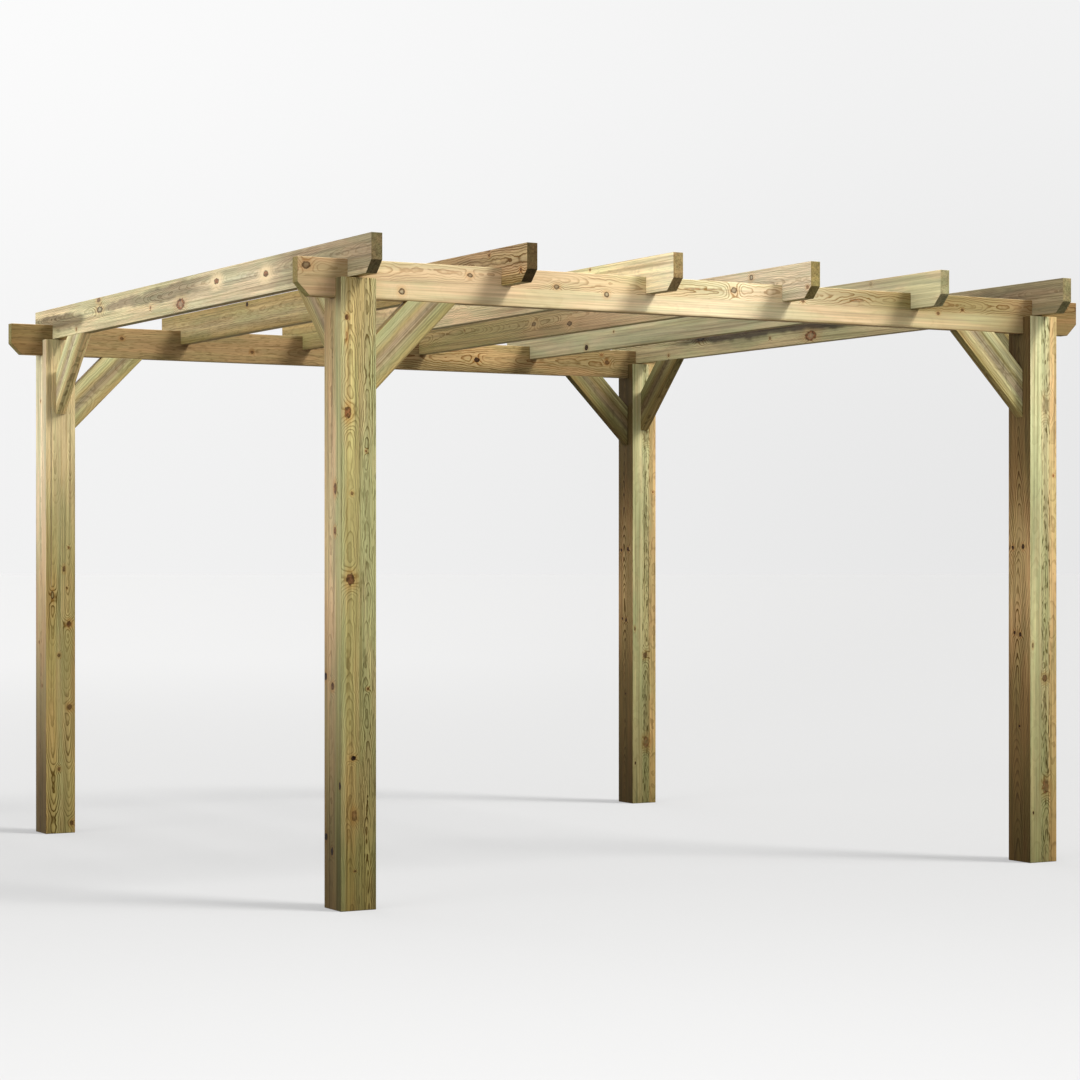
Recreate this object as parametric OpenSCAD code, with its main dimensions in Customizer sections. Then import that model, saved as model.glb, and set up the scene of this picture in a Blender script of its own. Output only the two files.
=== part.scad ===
// Open garden pergola in treated softwood.
// Four forked posts carry two beams, six notched rafters lie across the beams,
// and two mitred braces stiffen each post.
// X runs along the beams, Y along the rafters and Z is up.
// The origin is on the ground at the middle of the footprint. All sizes are in millimetres.

/* [Posts] */
// Width of each square post
post_w = 145; // [115:1:200]
// Post spacing along the beams, centre to centre
span_x = 3250; // [2000:10:5000]
// Post spacing along the rafters, centre to centre
span_y = 3250; // [2000:10:5000]
// Clear height from the ground to the underside of the beams
clear_h = 2267; // [1850:1:3000]

/* [Beams] */
// Thickness of each beam
beam_t = 45; // [32:1:63]
// Depth of each beam
beam_d = 145; // [120:1:225]
// Length of beam that runs past the outer face of a post
beam_over = 152.5; // [70:0.5:400]
// Leg of the 45 degree cut on the lower corner of a beam end
beam_cut = 50; // [10:1:65]

/* [Rafters] */
// Number of rafters, spaced evenly from post to post
rafter_count = 6; // [2:1:12]
// Thickness of each rafter
rafter_t = 45; // [32:1:63]
// Depth of each rafter
rafter_d = 145; // [120:1:225]
// Length of rafter that runs past the outer face of a beam
rafter_over = 202.5; // [70:0.5:500]
// Leg of the 45 degree cut on the lower corner of a rafter end
rafter_cut = 46; // [10:1:65]
// Depth of the notch that seats a rafter over a beam
notch_d = 67; // [20:1:80]

/* [Braces] */
// Thickness of each brace
brace_t = 45; // [32:1:63]
// Depth of each brace, square to its length
brace_d = 145; // [60:1:150]
// Length along the post and along the timber above, from their corner to the brace's far edge
brace_leg = 360; // [240:5:700]

/* [Fits] */
// Play on each side of a timber that sits in a slot or a notch
side_play = 0.5; // [0:0.1:2]
// Gap between the top of a post and the rafter over it
post_gap = 5; // [0:0.5:10]

/* [Hidden] */
// Corner name, side along X and side along Y
CORNERS = [
    ["front_left", -1, -1],
    ["front_right", 1, -1],
    ["rear_left", -1, 1],
    ["rear_right", 1, 1],
];
// Beam name and side along Y
SIDES = [["front", -1], ["rear", 1]];

beam_len = span_x + post_w + 2 * beam_over;
beam_top = clear_h + beam_d;
rafter_len = span_y + beam_t + 2 * rafter_over;
rafter_under = beam_top - notch_d;
rafter_pitch = span_x / (rafter_count - 1);
post_h = rafter_under - post_gap;
slot_w = beam_t + 2 * side_play;
// Leg from the corner to the near edge of a brace
brace_inner = brace_leg - brace_d * sqrt(2);
// How far a cutter runs past the face it opens
past = 10;

// Long face of a timber seen from the side, with the lower corner of both ends cut off.
module cut_end_outline(length, depth, cut) {
    polygon([
        [-length / 2, depth],
        [-length / 2, cut],
        [-length / 2 + cut, 0],
        [length / 2 - cut, 0],
        [length / 2, cut],
        [length / 2, depth],
    ]);
}

// Square post with a slot through its top, along X, that leaves a cheek on each side of the beam.
module post(corner) {
    color("#a8965f")
    translate([corner[1] * span_x / 2, corner[2] * span_y / 2, 0])
    difference() {
        translate([-post_w / 2, -post_w / 2, 0])
        cube([post_w, post_w, post_h]);
        translate([-post_w / 2 - past, -slot_w / 2, clear_h])
        cube([post_w + 2 * past, slot_w, post_h - clear_h + past]);
    }
}

// Beam that lies in the slots of two posts.
module beam(side) {
    color("#b79a6b")
    translate([0, side[1] * span_y / 2, clear_h])
    rotate([90, 0, 0])
    linear_extrude(beam_t, center = true)
    cut_end_outline(beam_len, beam_d, beam_cut);
}

// Rafter with a notch on its underside over each beam. The first one is on the left.
module rafter(index) {
    color("#a39a70")
    translate([-span_x / 2 + (index - 1) * rafter_pitch, 0, rafter_under])
    difference() {
        rotate([90, 0, 90])
        linear_extrude(rafter_t, center = true)
        cut_end_outline(rafter_len, rafter_d, rafter_cut);
        for (s = SIDES)
            translate([-rafter_t / 2 - past, s[1] * span_y / 2 - slot_w / 2, -past])
            cube([rafter_t + 2 * past, slot_w, notch_d + past]);
    }
}

// Side of a brace mitred at both ends: the post is at x = 0 and the timber above is at y = 0.
module brace_outline() {
    polygon([
        [0, -brace_leg],
        [brace_leg, 0],
        [brace_inner, 0],
        [0, -brace_inner],
    ]);
}

// Brace from the inner side of a post to the underside of its beam.
module beam_brace(corner) {
    inner_face = span_x / 2 - post_w / 2;
    color("#8f8758")
    translate([corner[1] * inner_face, corner[2] * span_y / 2, clear_h])
    mirror([corner[1] > 0 ? 1 : 0, 0, 0])
    rotate([90, 0, 0])
    linear_extrude(brace_t, center = true)
    brace_outline();
}

// Brace from the inner side of a post to the underside of the outer rafter over it.
module rafter_brace(corner) {
    inner_face = span_y / 2 - post_w / 2;
    color("#978f60")
    translate([corner[1] * span_x / 2, corner[2] * inner_face, rafter_under])
    mirror([0, corner[2] > 0 ? 1 : 0, 0])
    rotate([90, 0, 90])
    linear_extrude(brace_t, center = true)
    brace_outline();
}

for (c = CORNERS) {
    post(c);
    beam_brace(c);
    rafter_brace(c);
}
for (s = SIDES) {
    beam(s);
}
for (i = [1:rafter_count]) {
    rafter(i);
}
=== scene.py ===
"""Open garden pergola in treated softwood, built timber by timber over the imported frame.

Each timber is a mesh of its own with eased edges, drying checks and a grain that is worked out
from its pith, its knots and its stain. Lengths are in metres. X runs along the beams, Y along
the rafters and Z is up.
"""

import logging
import math
from collections.abc import Iterable, Sequence
from dataclasses import dataclass, field, replace
from enum import Enum

import bmesh
import bpy
import numpy as np
from mathutils import Matrix, Vector


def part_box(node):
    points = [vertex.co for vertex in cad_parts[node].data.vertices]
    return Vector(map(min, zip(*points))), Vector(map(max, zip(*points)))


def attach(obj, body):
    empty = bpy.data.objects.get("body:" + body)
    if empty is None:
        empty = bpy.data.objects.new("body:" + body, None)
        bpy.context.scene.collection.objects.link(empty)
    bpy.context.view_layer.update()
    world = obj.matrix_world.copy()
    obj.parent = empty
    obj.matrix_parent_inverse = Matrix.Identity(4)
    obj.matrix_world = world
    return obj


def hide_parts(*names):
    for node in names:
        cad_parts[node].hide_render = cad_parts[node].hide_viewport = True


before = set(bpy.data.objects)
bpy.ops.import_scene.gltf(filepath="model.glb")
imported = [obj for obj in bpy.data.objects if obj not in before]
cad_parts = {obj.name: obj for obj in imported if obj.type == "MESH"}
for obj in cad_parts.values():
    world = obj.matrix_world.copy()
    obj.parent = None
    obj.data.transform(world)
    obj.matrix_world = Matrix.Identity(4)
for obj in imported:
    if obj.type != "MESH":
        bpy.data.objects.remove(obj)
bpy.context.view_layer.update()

log = logging.getLogger("pergola")

Colour = tuple[float, float, float]
Point = tuple[float, float]
Socket = bpy.types.NodeSocket
Value = float | tuple | Socket
Pair = tuple[Value, Value]


class Tone(Enum):
    """Colour of a stretch of wood, as linear red, green and blue."""

    STRAW = (0.405, 0.305, 0.125)
    CORN = (0.462, 0.378, 0.170)
    WHEAT = (0.510, 0.430, 0.245)
    OLIVE_STRAW = (0.350, 0.285, 0.130)
    MOSS = (0.375, 0.332, 0.162)
    PALE_MOSS = (0.420, 0.390, 0.205)
    LIME = (0.500, 0.475, 0.272)
    PALE_LIME = (0.580, 0.545, 0.320)
    AMBER = (0.585, 0.425, 0.212)
    MAPLE = (0.700, 0.510, 0.250)
    PINK_TAN = (0.470, 0.340, 0.190)
    ROSE_TAN = (0.520, 0.395, 0.240)
    UMBER = (0.260, 0.172, 0.075)
    CREAM = (0.640, 0.535, 0.360)
    PALE_STRAW = (0.820, 0.700, 0.410)
    ROSE = (0.410, 0.290, 0.165)
    APRICOT = (0.530, 0.405, 0.235)
    PEACH = (0.630, 0.500, 0.315)
    BRIGHT_PEACH = (0.730, 0.610, 0.370)
    BUTTER = (0.810, 0.700, 0.480)
    OLIVE = (0.330, 0.255, 0.110)
    # Painted shade: the olive of the wood where shade falls on the top of a post's cheek.
    DARK_OLIVE = (0.140, 0.112, 0.056)
    HEARTWOOD = (0.330, 0.262, 0.168)
    DRIFT = (0.355, 0.300, 0.195)
    LICHEN = (0.275, 0.230, 0.135)
    PAINTED_SHADE_HEARTWOOD = (0.120, 0.100, 0.075)
    # Painted shade: heartwood as dark as it shows in the shade under the roof.
    BONE = (0.665, 0.590, 0.430)
    SMOKE = (0.600, 0.515, 0.345)
    GREY_GREEN = (0.430, 0.390, 0.260)
    CELERY = (0.680, 0.590, 0.370)
    SAGE = (0.520, 0.465, 0.290)
    TOFFEE = (0.330, 0.232, 0.118)
    HONEY = (0.375, 0.268, 0.135)
    END_DARK = (0.092, 0.063, 0.027)
    END_OLIVE = (0.150, 0.120, 0.060)
    END_GOLD = (0.318, 0.234, 0.109)
    END_SAGE = (0.245, 0.212, 0.108)
    END_LIME = (0.275, 0.225, 0.090)
    END_PALE = (0.320, 0.290, 0.160)


Run = Tone | dict[float, Tone]
"""One tone all along a timber, or a tone at each place along it."""


class Side(Enum):
    """Face of a timber in its own frame (X along it, Y across, Z through): axis and direction."""

    TAIL = (0, -1)
    HEAD = (0, 1)
    UNDER = (1, -1)
    OVER = (1, 1)
    FAR = (2, -1)
    NEAR = (2, 1)


class KnotKind(Enum):
    """Look of a knot: how dark, how red, how pale in its middle and how warm the wood round it is.

    A warmth below 0 makes the wood round it paler.
    """

    RED = (0.85, 0.75, 0.0, 0.55)
    PURPLE = (0.90, 0.45, 0.0, 0.45)
    BLACK = (1.0, 0.1, 0.0, 0.35)
    BROWN = (0.75, 0.4, 0.0, 0.45)
    ORANGE = (0.65, 1.0, 0.25, 0.5)
    GHOST = (0.35, 0.1, 0.2, 0.2)
    RING = (0.85, 0.12, 0.80, 0.35)
    LENS = (0.50, 0.85, 0.0, 0.1)
    SCAR = (0.95, 0.95, 0.45, 0.3)
    GLOW = (0.90, 0.70, 0.0, -0.9)
    STAR = (0.80, 0.35, 0.25, -0.4)
    GREY = (0.82, 0.15, 0.45, 0.35)


@dataclass(frozen=True)
class Knot:
    """One knot on a long face.

    Attributes:
        along: Place along the timber.
        across: Distance from the face's upper, left or rear edge.
        radius: Radius across the timber.
        stretch: Length over width.
    """

    along: float
    across: float
    radius: float
    stretch: float = 1.2


@dataclass(frozen=True)
class Heart:
    """Line of the growth rings' centre behind a long face, where the figure opens into arches.

    Attributes:
        across: Distance from the face's upper, left or rear edge.
        depth: Distance below the face. A small depth gives narrow arches.
        contrast: Darkness of the latewood lines.
        slope: Rise of the rings towards the face per metre, which points the arches one way.
        fleck: Amount of short dark dashes.
        shares: Pairs of a place along the timber and the share of the contrast there.
    """

    across: float
    depth: float
    contrast: float
    slope: float = 0.0
    fleck: float = 0.15
    shares: tuple[Point, ...] = ((0.0, 1.0),)


@dataclass(frozen=True)
class Check:
    """Drying crack: a groove that tapers out at both ends.

    Attributes:
        start: Where it begins along the timber.
        end: Where it ends.
        across: Distance from the face's upper, left or rear edge.
        width: Widest opening.
        depth: Deepest point.
    """

    start: float
    end: float
    across: float
    width: float
    depth: float


@dataclass(frozen=True)
class Board:
    """Look of one long face.

    Attributes:
        streaks: Stain lines, by distance across the face.
        hearts: Ring centres behind it.
        knots: Its knots, by kind.
        checks: Its drying cracks.
        fade: Painted light and shade: pairs of a place along the timber and the share of its tone that shows
            there.
        pitch: Width of one growth ring.
        wave: How far the stain lines stray.
    """

    streaks: dict[float, Run]
    hearts: tuple[Heart, ...]
    knots: dict[KnotKind, tuple[Knot, ...]] = field(default_factory=dict)
    checks: tuple[Check, ...] = ()
    fade: tuple[Point, ...] = ((0.0, 1.0),)
    pitch: float = 0.0060
    wave: float = 0.002


class Bench:
    """Adds shader nodes to one tree and joins them."""

    def __init__(self, tree: bpy.types.NodeTree) -> None:
        """Takes the tree of a material or a world."""
        self.tree = tree

    def add(
        self, kind: str, inputs: dict[str | int, Value] | None = None, **settings: object
    ) -> bpy.types.Node:
        """Adds a node.

        Args:
            kind: Node type.
            inputs: Values or sockets for its inputs, by name or place.
            settings: The node's own properties.

        Returns:
            The node.
        """
        node = self.tree.nodes.new(kind)
        for name, value in settings.items():
            setattr(node, name, value)
        for name, value in (inputs or {}).items():
            if isinstance(value, Socket):
                self.tree.links.new(value, node.inputs[name])
            else:
                node.inputs[name].default_value = value
        return node

    def sum(self, operation: str, *values: Value, clamp: bool = False) -> Socket:
        """Does arithmetic on numbers, and keeps the answer from 0 to 1 if it is clamped."""
        node = self.add("ShaderNodeMath", dict(enumerate(values)), operation=operation, use_clamp=clamp)
        return node.outputs[0]

    def vector(self, operation: str, *values: Value) -> Socket:
        """Does arithmetic on vectors."""
        node = self.add("ShaderNodeVectorMath", dict(enumerate(values)), operation=operation)
        return node.outputs["Value" if operation in ("LENGTH", "DISTANCE", "DOT_PRODUCT") else "Vector"]

    def span(self, value: Value, reach: Pair, ends: Pair = (0.0, 1.0)) -> Socket:
        """Maps a range smoothly onto another.

        Args:
            value: Number to map.
            reach: Values that give the two ends.
            ends: Answers there.

        Returns:
            The answer's socket.
        """
        names = ("Value", "From Min", "From Max", "To Min", "To Max")
        inputs = dict(zip(names, (value, *reach, *ends)))
        return self.add("ShaderNodeMapRange", inputs, interpolation_type="SMOOTHSTEP").outputs["Result"]

    def mix(self, share: Value, first: Value, second: Value, blend: str = "MIX") -> Socket:
        """Mixes a share of the second colour into the first."""
        node = self.add("ShaderNodeMix", {0: share, 6: first, 7: second}, data_type="RGBA", blend_type=blend)
        return node.outputs[2]

    def attribute(self, name: str) -> bpy.types.Node:
        """Reads one of the mesh's own attributes."""
        return self.add("ShaderNodeAttribute", attribute_name=name, attribute_type="GEOMETRY")

    def parts(self, value: Value) -> Iterable[Socket]:
        """Splits a vector into X, Y and Z."""
        return self.add("ShaderNodeSeparateXYZ", {0: value}).outputs

    def brighten(self, colour: Value, light: Value) -> Socket:
        """Multiplies a colour by a number."""
        node = self.add("ShaderNodeVectorMath", {0: colour, "Scale": light}, operation="SCALE")
        return node.outputs["Vector"]

    def finish(self, kind: str, surface: Socket) -> None:
        """Joins a shader to the output of the material or the world."""
        self.add(kind, {"Surface": surface})


def blank_material(name: str) -> bpy.types.Material:
    """Makes a material with no nodes.

    Args:
        name: Its name.

    Returns:
        The material.
    """
    material = bpy.data.materials.new(name)
    material.use_nodes = True
    material.node_tree.nodes.clear()
    return material


class Weave(Enum):
    """Noise in the wood: waves per metre along and across the grain, and number of finer layers."""

    RAGGED_KNOT = (70.0, 120.0, 2.0)
    FIBRE = (1.8, 150.0, 4.0)
    SLOW_BEND = (2.1, 1.5, 0.0)
    QUICK_BEND = (8.5, 4.0, 1.0)
    TREMBLE = (34.0, 30.0, 1.0)
    UNEVEN_RING = (7.0, 50.0, 2.0)
    RING_PATCH = (3.2, 16.0, 1.0)
    CLOUD = (2.6, 17.0, 3.0)
    STREAK = (1.6, 48.0, 3.0)
    DASH = (22.0, 170.0, 1.0)
    HAIR = (0.9, 105.0, 2.0)
    CLOT = (60.0, 90.0, 2.0)


class Ramp(Enum):
    """Smooth change in the wood: the two values that it runs between, and the answers there."""

    LATEWOOD = (0.45, 0.90, 0.0, 1.0)
    YEAR_END = (1.0, 0.94, 0.0, 1.0)
    RING_PATCH = (0.32, 0.58, 0.45, 1.15)
    CLOUD = (0.38, 0.62, 0.0, 1.0)
    FIBRE = (0.32, 0.68, 0.0, 1.0)
    STREAK = (0.3, 0.7, 0.0, 1.0)
    DASH = (0.56, 0.64, 0.0, 1.0)
    HAIR = (0.55, 0.68, 0.0, 1.0)
    KNOT = (1.08, 0.86, 0.0, 1.0)
    KNOT_BARK = (0.62, 0.95, 1.15, 0.55)
    KNOT_CLOT = (0.38, 0.60, 0.35, 1.25)
    KNOT_MIDDLE = (0.75, 0.25, 0.0, 1.0)
    KNOT_RIM = (2.5, 0.95, 0.0, 1.0)
    KNOT_HALO = (4.2, 0.9, 0.0, 1.0)
    ROUGHNESS = (0.25, 0.75, 0.0, 1.0)


class Tint(Enum):
    """Colour of a knot, or what a mark multiplies the wood's colour by."""

    KNOT_BLACK = (0.026, 0.015, 0.008, 1.0)
    KNOT_RED = (0.170, 0.062, 0.024, 1.0)
    KNOT_MIDDLE = (0.74, 0.80, 0.78, 1.0)
    KNOT_RIM = (0.92, 0.62, 0.40, 1.0)
    KNOT_HALO = (1.45, 1.34, 1.20, 1.0)
    GREENER = (0.93, 0.98, 0.90, 1.0)
    BROWNER = (1.07, 1.00, 0.95, 1.0)
    DASH = (0.30, 0.27, 0.18, 1.0)
    HAIR = (0.50, 0.42, 0.30, 1.0)


@dataclass(frozen=True)
class SoftwoodFinish:
    """Planed, pressure-treated softwood.

    Attributes:
        name: Name of the material.
        latewood: What the dark lines of the growth rings multiply the stain by.
        wander: How far the rings' centre strays along the timber.
        fibre: Strength of the fine streaks.
        streak: Strength of the broad streaks.
        hair: Strength of the dark hair lines.
        roughness: Roughness of plain wood.
        gloss: Strength of its reflections.
        relief: Height of the grain's relief.
    """

    name: str
    latewood: Colour = (0.26, 0.20, 0.11)
    wander: float = 0.034
    fibre: float = 0.20
    streak: float = 0.20
    hair: float = 0.62
    roughness: float = 0.62
    gloss: float = 0.04
    relief: float = 0.0007

    def make(self) -> bpy.types.Material:
        """Makes the material.

        Returns:
            The material.
        """
        material = blank_material(self.name)
        WoodBench(material.node_tree, self).join()
        return material


class WoodBench(Bench):
    """Nodes of a softwood finish, which read the marks on a timber's mesh."""

    HALF = (0.5, 0.5, 0.5)
    QUICK_BEND = (0.0, 0.014, 0.024)
    TREMBLE = (0.0, 0.005, 0.006)
    RAGGEDNESS = 0.9
    KNOT_REACH = 4.0
    KNOT_FALL = 3.0
    KNOT_SWELL = 1.5
    KNOT_DARKENING = 0.9
    RING_UNEVENNESS = 0.45
    YEAR_RANGE = 0.5
    YEAR_LEAST = 0.6
    RIPPLES = 17.0
    RIPPLE_DEPTH = 0.25
    STAIN_WEIGHTS = (1.0, 1.6, 0.4)
    ROUGHER = 0.08
    SMOOTHER = 0.06
    KNOT_POLISH = 0.14
    FIBRE_HEIGHT = 0.6
    LATEWOOD_HEIGHT = 0.5
    BUMP_STRENGTH = 0.5

    def __init__(self, tree: bpy.types.NodeTree, finish: SoftwoodFinish) -> None:
        """Reads the marks.

        Args:
            tree: Node tree of the material.
            finish: Whose nodes they are.
        """
        super().__init__(tree)
        self.look = finish
        self.grain = self.attribute("grain").outputs["Vector"]
        self.knot = self.attribute("knot").outputs["Vector"]
        self.stain = self.attribute("stain").outputs["Color"]
        self.fibre = self.noise(Weave.FIBRE)

    def noise(self, weave: Weave, output: str = "Fac") -> Socket:
        """Adds a noise that is stretched along the grain.

        Args:
            weave: Which one.
            output: Its number, or its colour.

        Returns:
            The noise's socket.
        """
        along, across, detail = weave.value
        place = self.vector("MULTIPLY", self.grain, (along, across, across))
        inputs = {"Vector": place, "Scale": 1.0, "Detail": detail, "Roughness": 0.55}
        return self.add("ShaderNodeTexNoise", inputs).outputs[output]

    def ramp(self, value: Value, ramp: Ramp, ends: Pair | None = None) -> Socket:
        """Maps a number by a ramp, onto its own answers unless others are given."""
        return self.span(value, ramp.value[:2], ends or ramp.value[2:])

    def tinted(self, colour: Value, tint: Tint) -> Socket:
        """Multiplies a colour by a tint."""
        return self.mix(1.0, colour, tint.value, "MULTIPLY")

    def join(self) -> None:
        """Builds the colour layer by layer and joins it to the shader."""
        reach, nearness = self.knot_reach()
        line = self.rings(nearness)
        latewood = self.mix(1.0, self.stain, (*self.look.latewood, 1.0), "MULTIPLY")
        colour = self.flecks(self.mottle(self.mix(line, self.stain, latewood)))
        colour, core = self.knots(reach, colour)
        self.surface(colour, line, core)

    def knot_reach(self) -> tuple[Socket, Socket]:
        """Works out how far a point is from the nearest knot, in knot radii.

        Returns:
            The ragged distance, and a share that is 1 at the knot and 0 from four radii on.
        """
        distance = self.vector("LENGTH", self.vector("MULTIPLY", self.knot, (1.0, 1.0, 0.0)))
        ragged = self.sum("SUBTRACT", self.noise(Weave.RAGGED_KNOT), 0.5)
        reach = self.sum("ADD", distance, self.sum("MULTIPLY", ragged, self.RAGGEDNESS))
        part = self.sum("MULTIPLY", distance, 1.0 / self.KNOT_REACH)
        hollow = self.sum("SUBTRACT", 1.0, self.sum("MULTIPLY", part, part), clamp=True)
        return reach, self.sum("POWER", hollow, self.KNOT_FALL)

    def rings(self, nearness: Socket) -> Socket:
        """Draws the growth rings, which bow round each knot.

        Args:
            nearness: Share from knot_reach.

        Returns:
            The darkness of the latewood line.
        """
        contrast, pitch, slope = self.parts(self.attribute("figure").outputs["Vector"])
        slow_bend = (0.0, self.look.wander, self.look.wander)
        bends = {Weave.TREMBLE: self.TREMBLE, Weave.SLOW_BEND: slow_bend, Weave.QUICK_BEND: self.QUICK_BEND}
        centre = self.vector("MULTIPLY", self.grain, (0.0, 1.0, 1.0))
        for weave, sway in bends.items():
            stray = self.vector("SUBTRACT", self.noise(weave, "Color"), self.HALF)
            centre = self.vector("ADD", centre, self.vector("MULTIPLY", stray, sway))
        *_, size = self.parts(self.knot)
        swell = self.sum("MULTIPLY", nearness, self.sum("MULTIPLY", size, self.KNOT_SWELL))
        rise = self.sum("ADD", self.vector("LENGTH", centre), self.sum("ADD", swell, slope))
        uneven = self.sum("MULTIPLY", self.noise(Weave.UNEVEN_RING), self.RING_UNEVENNESS)
        count = self.sum("ADD", self.sum("DIVIDE", rise, pitch), uneven)
        share = self.sum("FRACT", count)
        year = self.add("ShaderNodeTexWhiteNoise", {"W": self.sum("FLOOR", count)}, noise_dimensions="1D")
        aged = self.sum("MULTIPLY_ADD", year.outputs["Value"], self.YEAR_RANGE, self.YEAR_LEAST)
        dark = self.sum("MULTIPLY", self.ramp(share, Ramp.LATEWOOD), self.ramp(share, Ramp.YEAR_END))
        patch = self.ramp(self.noise(Weave.RING_PATCH), Ramp.RING_PATCH)
        darker = self.sum("MULTIPLY_ADD", nearness, self.KNOT_DARKENING, 1.0)
        strength = self.sum("MULTIPLY", self.sum("MULTIPLY", patch, contrast), darker)
        return self.sum("MULTIPLY", dark, self.sum("MULTIPLY", aged, strength), clamp=True)

    def mottle(self, colour: Value) -> Socket:
        """Adds fine streaks and broad clouds of greener and browner stain.

        Args:
            colour: Colour so far.

        Returns:
            The new colour.
        """
        cloud = self.ramp(self.noise(Weave.CLOUD), Ramp.CLOUD)
        clouded = self.mix(cloud, self.tinted(colour, Tint.GREENER), self.tinted(colour, Tint.BROWNER))
        fine = self.ramp(self.fibre, Ramp.FIBRE, (-self.look.fibre, self.look.fibre))
        broad_ends = (1.0 - self.look.streak, 1.0 + self.look.streak)
        broad = self.ramp(self.noise(Weave.STREAK), Ramp.STREAK, broad_ends)
        return self.brighten(clouded, self.sum("ADD", fine, broad))

    def flecks(self, colour: Value) -> Socket:
        """Adds short dark dashes and long hair lines along the grain.

        Args:
            colour: Colour so far.

        Returns:
            The new colour.
        """
        amount = self.attribute("flecks").outputs["Fac"]
        where = self.sum("MULTIPLY", self.ramp(self.noise(Weave.DASH), Ramp.DASH), amount)
        dashed = self.mix(where, colour, self.tinted(colour, Tint.DASH))
        hair = self.ramp(self.noise(Weave.HAIR), Ramp.HAIR, (0.0, self.look.hair))
        return self.mix(hair, dashed, self.tinted(dashed, Tint.HAIR))

    def knots(self, reach: Socket, colour: Value) -> tuple[Socket, Socket]:
        """Lays each knot over the wood, with a warm rim or a pale halo round it.

        Args:
            reach: Ragged distance from the knot in its radii.
            colour: Colour so far.

        Returns:
            The new colour, and the share of knot at each point.
        """
        look = self.attribute("knot_look")
        dark, red, pale = self.parts(look.outputs["Vector"])
        warmth = look.outputs["Alpha"]
        core = self.ramp(reach, Ramp.KNOT)
        ripple = self.sum("SINE", self.sum("MULTIPLY", reach, self.RIPPLES))
        clot = self.ramp(self.noise(Weave.CLOT), Ramp.KNOT_CLOT)
        # The knot's body takes the brightness of the stain round it, painted light and shade included.
        shade = self.sum("MULTIPLY", self.vector("DOT_PRODUCT", self.stain, self.STAIN_WEIGHTS), clot)
        light = self.sum("MULTIPLY", self.sum("MULTIPLY_ADD", ripple, self.RIPPLE_DEPTH, 1.0), shade)
        light = self.sum("MULTIPLY", light, self.ramp(reach, Ramp.KNOT_BARK))
        body = self.brighten(self.mix(red, Tint.KNOT_BLACK.value, Tint.KNOT_RED.value), light)
        middle = self.sum("MULTIPLY", self.ramp(reach, Ramp.KNOT_MIDDLE), pale)
        body = self.mix(middle, body, self.tinted(self.stain, Tint.KNOT_MIDDLE))
        rim = self.sum("MULTIPLY", self.ramp(reach, Ramp.KNOT_RIM), warmth, clamp=True)
        around = self.mix(rim, colour, self.tinted(self.stain, Tint.KNOT_RIM))
        coolness = self.sum("MULTIPLY", warmth, -1.0)
        halo = self.sum("MULTIPLY", self.ramp(reach, Ramp.KNOT_HALO), coolness, clamp=True)
        around = self.mix(halo, around, self.tinted(self.stain, Tint.KNOT_HALO))
        return self.mix(self.sum("MULTIPLY", core, dark), around, body), core

    def surface(self, colour: Value, line: Socket, core: Socket) -> None:
        """Joins colour, roughness and relief to the shader.

        Args:
            colour: Finished colour.
            line: Darkness of the latewood line.
            core: Share of knot.
        """
        plain, gloss = self.look.roughness, self.look.gloss
        rough = self.ramp(self.fibre, Ramp.ROUGHNESS, (plain - self.SMOOTHER, plain + self.ROUGHER))
        rough = self.sum("MAXIMUM", self.sum("SUBTRACT", rough, core), plain - self.KNOT_POLISH)
        fibre = self.sum("MULTIPLY", self.fibre, self.FIBRE_HEIGHT)
        height = self.sum("ADD", fibre, self.sum("MULTIPLY", line, self.LATEWOOD_HEIGHT))
        relief = {"Strength": self.BUMP_STRENGTH, "Distance": self.look.relief, "Height": height}
        bump = self.add("ShaderNodeBump", relief).outputs["Normal"]
        inputs = {"Base Color": colour, "Roughness": rough, "Normal": bump, "Specular IOR Level": gloss}
        shader = self.add("ShaderNodeBsdfPrincipled", inputs)
        self.finish("ShaderNodeOutputMaterial", shader.outputs["BSDF"])


CLOSE = 1e-5
"""Distance within which a vertex lies on a line."""


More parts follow.
